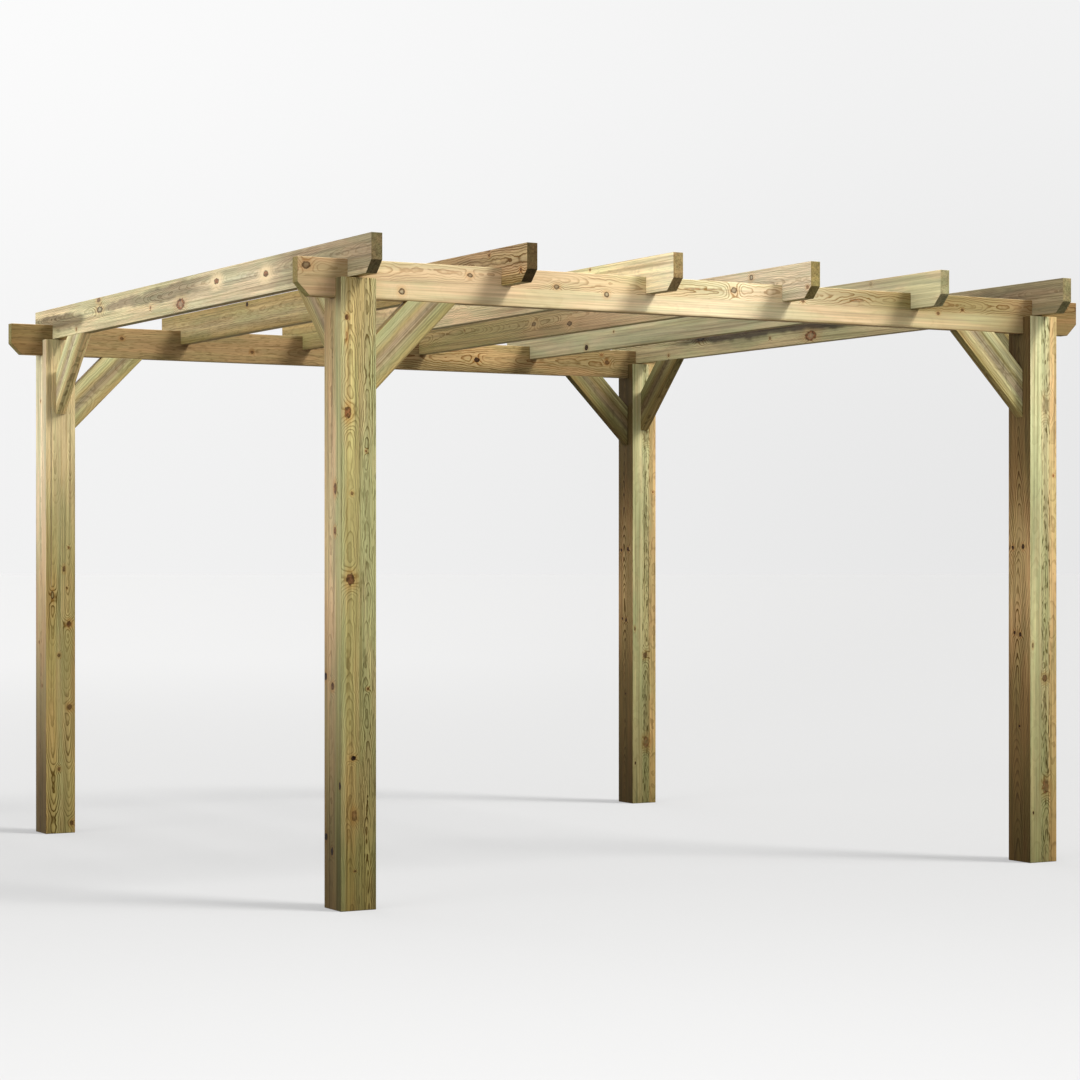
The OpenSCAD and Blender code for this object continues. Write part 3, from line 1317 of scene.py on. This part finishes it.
GREY, ASH, DRIFT, PALE, MOSSY = Tone.HEARTWOOD, Tone.SMOKE, Tone.DRIFT, Tone.CELERY, Tone.LICHEN
CREAM, BONE, SAGE, PAINTED_SHADE_HEARTWOOD = Tone.CREAM, Tone.BONE, Tone.SAGE, Tone.PAINTED_SHADE_HEARTWOOD
GREY_FRONT = {-1.85: GREY, -1.2: GREY, -0.9: ASH}
DRIFT_RUN = {**GREY_FRONT, -0.7: BONE, -0.3: ASH, -0.1: DRIFT, 0.86: DRIFT, 0.92: PALE}
ASH_TAIL = {-0.4: CREAM, -0.3: ASH, 0.04: ASH, 0.10: PALE}
HEARTY = Board(
    {
        0.0: {-1.85: GREY, -0.9: ASH, -0.3: CREAM, -0.1: PALE},
        0.014: {**GREY_FRONT, 0.05: ASH, 0.2: PALE},
        0.022: {**GREY_FRONT, -0.3: ASH, -0.1: DRIFT, 0.3: DRIFT, 0.4: PALE},
        0.036: {**GREY_FRONT, -0.4: ASH, -0.2: DRIFT, 0.6: DRIFT, 0.66: PALE},
        0.044: {**DRIFT_RUN, 1.30: PALE, 1.36: MOSSY},
        0.062: {**DRIFT_RUN, 1.14: PALE, 1.20: MOSSY},
        0.072: {**GREY_FRONT, -0.3: ASH, -0.1: DRIFT, 0.80: DRIFT, 0.86: PALE, 1.14: PALE, 1.20: MOSSY},
        0.082: {**GREY_FRONT, 0.24: ASH, 0.32: PALE, 1.14: PALE, 1.20: MOSSY},
        0.094: {**GREY_FRONT, 0.06: ASH, 0.12: PALE, 1.16: PALE, 1.22: MOSSY},
        0.104: {**GREY_FRONT, 0.04: ASH, 0.10: PALE, 1.20: PALE, 1.26: MOSSY},
        0.120: {**GREY_FRONT, -0.8: CREAM, **ASH_TAIL},
        0.145: {-1.85: CREAM, **ASH_TAIL},
    },
    (
        Heart(
            0.055, 0.022, 0.42, slope=0.06,
            shares=((-0.9, 0.9), (-0.2, 1.0), (0.1, 1.6), (0.9, 1.3), (1.2, 1.8)),
        ),
    ),
    {
        KnotKind.GLOW: (Knot(-0.900, 0.065, 0.013, 2.0), Knot(-0.401, 0.049, 0.013, 2.0)),
        KnotKind.SCAR: (Knot(-0.009, 0.112, 0.024, 2.0),),
        KnotKind.BROWN: (
            Knot(0.338, 0.099, 0.007),
            Knot(0.978, 0.012, 0.010, 2.4),
            Knot(1.274, 0.123, 0.008),
        ),
        KnotKind.RING: (Knot(0.965, 0.056, 0.015, 2.4),),
    },
    wave=0.0055,
)

LOOPS = Board(
    {
        0.0: {-1.85: Tone.ROSE, -1.4: Tone.ROSE, -0.8: Tone.OLIVE, 0.3: Tone.STRAW},
        0.090: {-1.85: Tone.PINK_TAN, -1.4: Tone.PINK_TAN, -0.8: Tone.STRAW, 0.3: Tone.WHEAT},
        0.145: Tone.STRAW,
    },
    (Heart(0.052, 0.020, 1.3, fleck=0.3, shares=((-1.45, 1.0), (-1.1, 0.25))),),
    {
        KnotKind.BROWN: (Knot(-1.551, 0.020, 0.007),),
        KnotKind.RED: (Knot(-1.801, 0.098, 0.007),),
        KnotKind.BLACK: (Knot(0.790, 0.016, 0.011),),
    },
    # Painted shade: darker towards the inside of the roof.
    fade=((-1.0, 0.94), (0.0, 0.90)),
    pitch=0.0085,
)

STRAIGHT_FRONT = {-1.85: Tone.BUTTER, -1.3: Tone.PALE_STRAW}
STRAIGHT = Board(
    {
        0.0: {**STRAIGHT_FRONT, -0.8: Tone.BRIGHT_PEACH, 0.3: Tone.PEACH, 1.2: Tone.STRAW},
        0.145: {**STRAIGHT_FRONT, -0.8: Tone.PEACH, 0.3: Tone.PEACH, 1.2: Tone.OLIVE_STRAW},
    },
    (Heart(0.050, 0.060, 0.45, shares=((-1.4, 0.25), (-0.9, 1.0))),),
    {KnotKind.BROWN: (Knot(-1.215, 0.010, 0.006), Knot(0.3, 0.07, 0.008), Knot(1.2, 0.10, 0.006))},
)

ROSY_FRONT = {-1.85: BONE, -1.4: BONE, -0.9: Tone.PEACH, 0.1: Tone.ROSE}
ROSY = Board(
    {
        0.0: {**ROSY_FRONT, 0.6: Tone.HONEY, 1.85: Tone.OLIVE},
        0.145: {**ROSY_FRONT, 0.9: Tone.OLIVE_STRAW},
    },
    (Heart(0.070, 0.028, 0.60, slope=-0.06),),
    {
        KnotKind.BROWN: (Knot(-1.826, 0.102, 0.008), Knot(1.104, 0.058, 0.005)),
        KnotKind.RING: (Knot(-1.425, 0.027, 0.012),),
        KnotKind.STAR: (Knot(0.070, 0.104, 0.012, 2.0), Knot(0.405, 0.081, 0.011, 2.0)),
    },
    # Painted shade: darker towards the inside of the roof.
    fade=((-1.5, 0.97), (0.0, 0.91)),
)

SAGE_RUN = {-1.85: PALE, -1.2: SAGE}
PALE_GREEN = Board(
    {
        0.0: SAGE_RUN,
        0.035: {-1.85: SAGE, -1.2: Tone.GREY_GREEN},
        0.045: Tone.GREY_GREEN,
        0.055: SAGE_RUN,
        0.110: {-1.85: PALE, -1.2: Tone.GREY_GREEN},
        0.145: SAGE,
    },
    (Heart(-0.080, 0.110, 0.15, fleck=0.1),),
    {
        KnotKind.GHOST: (Knot(-1.371, 0.015, 0.008),),
        KnotKind.BROWN: (Knot(0.753, 0.063, 0.006),),
        KnotKind.BLACK: (Knot(1.019, 0.124, 0.015),),
    },
    # Painted shade: darker towards the inside of the roof.
    fade=((-1.5, 0.96), (0.0, 0.90)),
)

# The sixth rafter's left board is the heart board again, its heartwood and tones darkened by painted shade,
# as it lies in the shade under the roof.
PAINTED_SHADE_HEART_RUN = {-1.85: GREY, -0.9: PAINTED_SHADE_HEARTWOOD, 1.0: PAINTED_SHADE_HEARTWOOD, 1.3: SAGE}
HEARTY_PAINTED_SHADE = replace(
    HEARTY,
    streaks={
        0.0: {-1.85: GREY, -0.9: SAGE},
        0.014: GREY,
        0.026: PAINTED_SHADE_HEART_RUN,
        0.076: PAINTED_SHADE_HEART_RUN,
        0.092: {-1.85: GREY, -0.9: SAGE},
        0.145: {-1.85: GREY, -0.9: PALE},
    },
    fade=((-1.5, 0.82), (-0.9, 0.78)),
)

RAFTERS = (
    (HEARTY, STRAIGHT, Tone.END_OLIVE),
    (LOOPS, ROSY, Tone.END_DARK),
    (STRAIGHT, PALE_GREEN, Tone.END_GOLD),
    (ROSY, HEARTY, Tone.END_LIME),
    (PALE_GREEN, LOOPS, Tone.END_PALE),
    (HEARTY_PAINTED_SHADE, STRAIGHT, Tone.END_SAGE),
)
"""Left board, right board and front end of each rafter, from the left one on."""


@dataclass
class RafterRow(Assembly):
    """Six rafters, notched over the beams.

    Attributes:
        cut: Leg of the cut on the lower corner of each end.
        notch: Depth of each notch.
        play: Air on each side of the beam in its notch.
        ease: Size of the eased edges.
        rows: Length of the mesh's faces.
        columns: Width of the mesh's faces.
        finish: The rafters' finish.
        seeds: Seeds of their grain.
    """

    cut: float = 0.046
    notch: float = 0.067
    play: float = 0.0005
    ease: float = 0.0013
    rows: float = 0.020
    columns: float = 0.0075
    finish: SoftwoodFinish = SoftwoodFinish("rafter_softwood", (0.34, 0.24, 0.15), streak=0.15, hair=0.42)
    seeds: Point = (91.0, 7.0)

    def build(self) -> None:
        """Builds the rafters."""
        crown, sole = narrow(Tone.GREY_GREEN, Tone.OLIVE_STRAW, 0.4), narrow(Tone.PINK_TAN, Tone.CORN, 0.5)
        beams = [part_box("beam_front"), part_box("beam_rear")]
        for index, (left, right, front) in enumerate(RAFTERS):
            node = f"rafter_{index + 1}"
            low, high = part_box(node)
            outline = cut_end_outline(high[1] - low[1], high[2] - low[2], self.cut)
            teeth = []
            for beam_low, beam_high in beams:
                start, end = beam_low[1] - self.play, beam_high[1] + self.play
                teeth += [(start, 0.0), (start, self.notch), (end, self.notch), (end, 0.0)]
            outline[3:3] = teeth
            boards = {Side.FAR: left, Side.NEAR: right, Side.OVER: crown, Side.UNDER: sole}
            place = axes((0, 1, 0), (0, 0, 1), (1, 0, 0), foot(low, high))
            ends = (front, Tone.END_GOLD)
            seed, width = self.seed(index), high[0] - low[0]
            sizes = (self.ease, self.rows, self.columns)
            self.keep(Timber(node, "rafter_timber", outline, width, place, boards, ends, seed, *sizes))


BRACE_FACE = Board(
    {
        0.0: Tone.PALE_MOSS,
        0.030: Tone.LIME,
        0.050: Tone.OLIVE_STRAW,
        0.070: GREY,
        0.088: GREY,
        0.105: Tone.PALE_MOSS,
        0.125: Tone.OLIVE_STRAW,
        0.145: Tone.OLIVE,
    },
    (Heart(0.080, 0.10, 0.35),),
    pitch=0.0050,
)
BRACE_EDGE = narrow(Tone.OLIVE, Tone.STRAW, 0.5)


@dataclass
class BraceSet(Assembly):
    """Eight mitred corner braces.

    Attributes:
        leg: From the corner to the far edge of a brace, along the post.
        depth: Depth of a brace, square to its length.
        over: Painted shade on a brace's upper edge, as a share of its tone.
        beam_under_painted_shade: Painted shade on the lower edge of a beam brace, as such a share.
        rafter_under_painted_light: Painted light on the lower edge of a rafter brace, as such a share.
        finish: The braces' finish.
        seeds: Seeds of their grain.
    """

    leg: float = 0.360
    depth: float = 0.145
    # Painted shade on the upper edges and on the beam braces' lower edges; painted light on the rafter
    # braces' lower edges.
    over: float = 0.85
    beam_under_painted_shade: float = 0.73
    rafter_under_painted_light: float = 1.45
    finish: SoftwoodFinish = SoftwoodFinish("brace_softwood")
    seeds: Point = (151.0, 5.0)

    def build(self) -> None:
        """Builds the braces of every corner, the beam's and the rafter's, each with the painted light and
        shade of its corner.
        """
        # Painted light and shade of each corner's beam brace and rafter brace, as shares of the tone: the
        # rear right braces are much darker.
        lights = {
            "front_left": (0.90, 0.75),
            "front_right": (1.04, 0.95),
            "rear_left": (0.98, 1.42),
            "rear_right": (0.57, 0.53),
        }
        for index, (corner, (beam_painted_light, rafter_painted_light)) in enumerate(lights.items()):
            side_x = -1.0 if corner.endswith("left") else 1.0
            side_y = -1.0 if corner.startswith("front") else 1.0
            low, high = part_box("beam_brace_" + corner)
            top = Vector((low[0] if side_x < 0 else high[0], (low[1] + high[1]) / 2, high[2]))
            boards = self.boards(beam_painted_light, self.beam_under_painted_shade)
            toward = Vector((side_x, 0.0, 0.0))
            self.add("beam_brace_" + corner, top, toward, high[1] - low[1], boards, index)
            low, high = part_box("rafter_brace_" + corner)
            top = Vector(((low[0] + high[0]) / 2, low[1] if side_y < 0 else high[1], high[2]))
            boards = self.boards(rafter_painted_light, self.rafter_under_painted_light)
            toward = Vector((0.0, side_y, 0.0))
            self.add("rafter_brace_" + corner, top, toward, high[0] - low[0], boards, index + len(lights))

    def boards(self, light: float, under: float) -> dict[Side, Board]:
        """Looks of a brace's long faces.

        Args:
            light: Painted light and shade of the brace's corner, as a share of its tone.
            under: Painted light and shade on its lower edge, as a share of that.

        Returns:
            Its boards.
        """
        face = with_painted_light(BRACE_FACE, light)
        return {
            Side.NEAR: face,
            Side.FAR: face,
            Side.OVER: with_painted_light(BRACE_EDGE, self.over * light),
            Side.UNDER: with_painted_light(BRACE_EDGE, under * light),
        }

    def add(
        self,
        node: str,
        corner: Vector,
        toward: Vector,
        thickness: float,
        boards: dict[Side, Board],
        index: int,
    ) -> None:
        """Builds one brace.

        Args:
            node: CAD node that it stands for.
            corner: Where the post's face meets the timber above.
            toward: Level direction from the brace to its post.
            thickness: Its thickness.
            boards: Looks of its long faces.
            index: Number that sets its grain apart.
        """
        half = self.leg / math.sqrt(2.0)
        inner = half - self.depth
        outline = [(-half, -self.depth), (half, -self.depth), (inner, 0.0), (-inner, 0.0)]
        slant = math.sqrt(0.5)
        up = Vector((0.0, 0.0, slant))
        along = up - toward * slant
        across = up + toward * slant
        place = axes(tuple(along), tuple(across), tuple(along.cross(across)), tuple(corner - across * inner))
        ends = (Tone.END_PALE, Tone.END_PALE)
        seed = self.seed(index)
        self.keep(Timber(node, "brace_timber", outline, thickness, place, boards, ends, seed))


@dataclass(frozen=True)
class Lamp:
    """Soft distant light.

    Attributes:
        name: Its name.
        travel: Direction in which its light travels.
        strength: Power on a surface square to it.
        spread: Angle that it fills, in degrees, which softens its shadows.
        colour: Its colour.
    """

    name: str
    travel: Colour
    strength: float
    spread: float
    colour: Colour = (1.0, 1.0, 1.0)

    def hang(self) -> None:
        """Adds the light to the scene."""
        data = bpy.data.lights.new(self.name, "SUN")
        data.energy = self.strength
        data.angle = math.radians(self.spread)
        data.color = self.colour
        lamp = bpy.data.objects.new(self.name, data)
        lamp.rotation_euler = Vector(self.travel).to_track_quat("-Z", "Y").to_euler()
        bpy.context.scene.collection.objects.link(lamp)


WHITE = (1.0, 1.0, 1.0, 1.0)


@dataclass
class Studio:
    """Plain pale floor and sky, soft lights and the camera.

    Attributes:
        floor_radius: Radius of the floor, which runs out of sight.
        floor_colour: Diffuse colour of the floor.
        floor_glow: Light that the floor gives by itself, which keeps shadows faint.
        far_floor: Distances between which the floor takes on the light of the horizon.
        painted_light_pool: Middle of a brighter patch of light painted on the floor in front of the pergola.
        painted_light_pool_reach: Distances from its middle where the painted light ends and where it is
            brightest.
        painted_light_pool_glow: How much the painted light brightens the floor at most.
        horizon: Brightness where the floor meets the sky.
        rear_glow: How much brighter the horizon is at the rear.
        rearward: Shares of rearward direction between which it grows so.
        overhead: How much brighter the sky grows with height.
        overhead_at: Height of direction where it is brightest.
        cast: Light that the sky casts at the horizon and overhead.
        below: Heights of direction between which the cast light fades out below the horizon.
        below_share: Share of it that is left there.
        eye: Place of the camera.
        heading: Turn of the camera from the Y axis to the right, in degrees.
        lens: Focal length in millimetres.
        sensor: Width of its frame in millimetres.
        rise: Vertical shift of the frame.
        lamps: The lights.
    """

    floor_radius: float = 240.0
    floor_colour: float = 0.20
    floor_glow: float = 0.375
    far_floor: Point = (2.0, 25.0)
    painted_light_pool: Colour = (-3.5, -7.0, 0.0)
    painted_light_pool_reach: Point = (7.0, 1.0)
    painted_light_pool_glow: float = 0.13
    horizon: float = 0.80
    rear_glow: float = 0.09
    rearward: Point = (0.76, 0.98)
    overhead: float = 0.090
    overhead_at: float = 0.22
    cast: Point = (0.62, 0.80)
    below: Point = (-0.30, -0.03)
    below_share: float = 0.40
    eye: Colour = (-5.963, -10.711, 1.295)
    heading: float = 29.538
    lens: float = 90.085
    sensor: float = 36.0
    rise: float = 0.01863
    lamps: tuple[Lamp, ...] = (
        Lamp("key", (-0.54, 0.60, -0.92), 3.85, 17.0, (1.0, 0.99, 0.97)),
        Lamp("side", (-0.72, 0.55, -0.72), 1.30, 26.0),
        Lamp("fill", (0.92, 0.22, -0.15), 2.28, 40.0),
        Lamp("rear", (0.05, -0.90, -0.30), 1.20, 50.0),
    )

    def build(self) -> None:
        """Lays the floor and sets the sky, lights, camera and colours."""
        self.lay_floor()
        self.set_sky()
        for lamp in self.lamps:
            lamp.hang()
        self.set_camera()
        bpy.context.scene.view_settings.view_transform = "Standard"

    def lay_floor(self) -> None:
        """Lays a wide disc that takes shadows but casts no light on the timber."""
        disc = bmesh.new()
        bmesh.ops.create_circle(disc, cap_ends=True, segments=96, radius=self.floor_radius)
        mesh = bpy.data.meshes.new("floor")
        disc.to_mesh(mesh)
        disc.free()
        material = blank_material("pale_floor")
        bench = Bench(material.node_tree)
        matt = bench.add("ShaderNodeBsdfDiffuse", {"Color": (self.floor_colour,) * 3 + (1.0,)})
        place = bench.add("ShaderNodeTexCoord").outputs["Object"]
        # Painted light: the floor glows brighter round a point in front of the pergola.
        painted_light_pool = bench.span(bench.vector("DISTANCE", place, self.painted_light_pool), self.painted_light_pool_reach, (0.0, self.painted_light_pool_glow))
        haze = bench.sum("SUBTRACT", self.haze(bench, bench.vector("NORMALIZE", place)), self.horizon)
        far = bench.sum("MULTIPLY", haze, bench.span(bench.vector("LENGTH", place), self.far_floor))
        light = bench.sum("ADD", bench.sum("ADD", painted_light_pool, far), self.floor_glow)
        glow = bench.add("ShaderNodeEmission", {"Color": WHITE, "Strength": light})
        both = bench.add("ShaderNodeAddShader", {0: matt.outputs[0], 1: glow.outputs[0]})
        bench.finish("ShaderNodeOutputMaterial", both.outputs[0])
        floor = bpy.data.objects.new("floor", mesh)
        floor.data.materials.append(material)
        floor.visible_diffuse = False
        floor.visible_glossy = False
        bpy.context.scene.collection.objects.link(floor)

    def haze(self, bench: Bench, direction: Value) -> Socket:
        """Brightness of the horizon in a direction, a little higher towards the rear."""
        rearward = bench.vector("DOT_PRODUCT", direction, (0.0, 1.0, 0.0))
        return bench.span(rearward, self.rearward, (self.horizon, self.horizon + self.rear_glow))

    def set_sky(self) -> None:
        """Makes a pale sky, a little brighter overhead and dark below the floor."""
        world = bpy.data.worlds.new("studio")
        world.use_nodes = True
        world.node_tree.nodes.clear()
        bench = Bench(world.node_tree)
        place = bench.add("ShaderNodeTexCoord").outputs["Generated"]
        *_, height = bench.parts(place)
        lift = bench.span(height, (0.0, self.overhead_at), (0.0, self.overhead))
        seen = bench.sum("ADD", self.haze(bench, place), lift)
        above = bench.span(height, (0.0, 1.0), self.cast)
        below = bench.span(height, self.below, (self.below_share, 1.0))
        to_eye = bench.add("ShaderNodeLightPath").outputs["Is Camera Ray"]
        lights = [
            bench.add("ShaderNodeBackground", {"Color": WHITE, "Strength": strength}).outputs[0]
            for strength in (bench.sum("MULTIPLY", above, below), seen)
        ]
        both = bench.add("ShaderNodeMixShader", {0: to_eye, 1: lights[0], 2: lights[1]})
        bench.finish("ShaderNodeOutputWorld", both.outputs[0])
        bpy.context.scene.world = world

    def set_camera(self) -> None:
        """Sets the camera."""
        data = bpy.data.cameras.new("camera")
        data.sensor_width = self.sensor
        data.lens = self.lens
        data.shift_y = self.rise
        data.clip_end = 2.0 * self.floor_radius
        camera = bpy.data.objects.new("camera", data)
        camera.location = self.eye
        camera.rotation_euler = (math.pi / 2, 0.0, -math.radians(self.heading))
        bpy.context.scene.collection.objects.link(camera)
        bpy.context.scene.camera = camera


def main() -> None:
    """Builds the studio and the pergola, and reports each piece."""
    logging.basicConfig(level=logging.INFO, format="%(message)s")
    Studio().build()
    for assembly in (PostSet(), BeamPair(), RafterRow(), BraceSet()):
        assembly.build()
        assembly.dress()
        for timber in assembly.timbers:
            log.info("%s: %d faces, %s", timber.piece.name, len(timber.piece.data.polygons), timber.slot)
    bpy.context.view_layer.update()


if __name__ == "__main__":
    main()
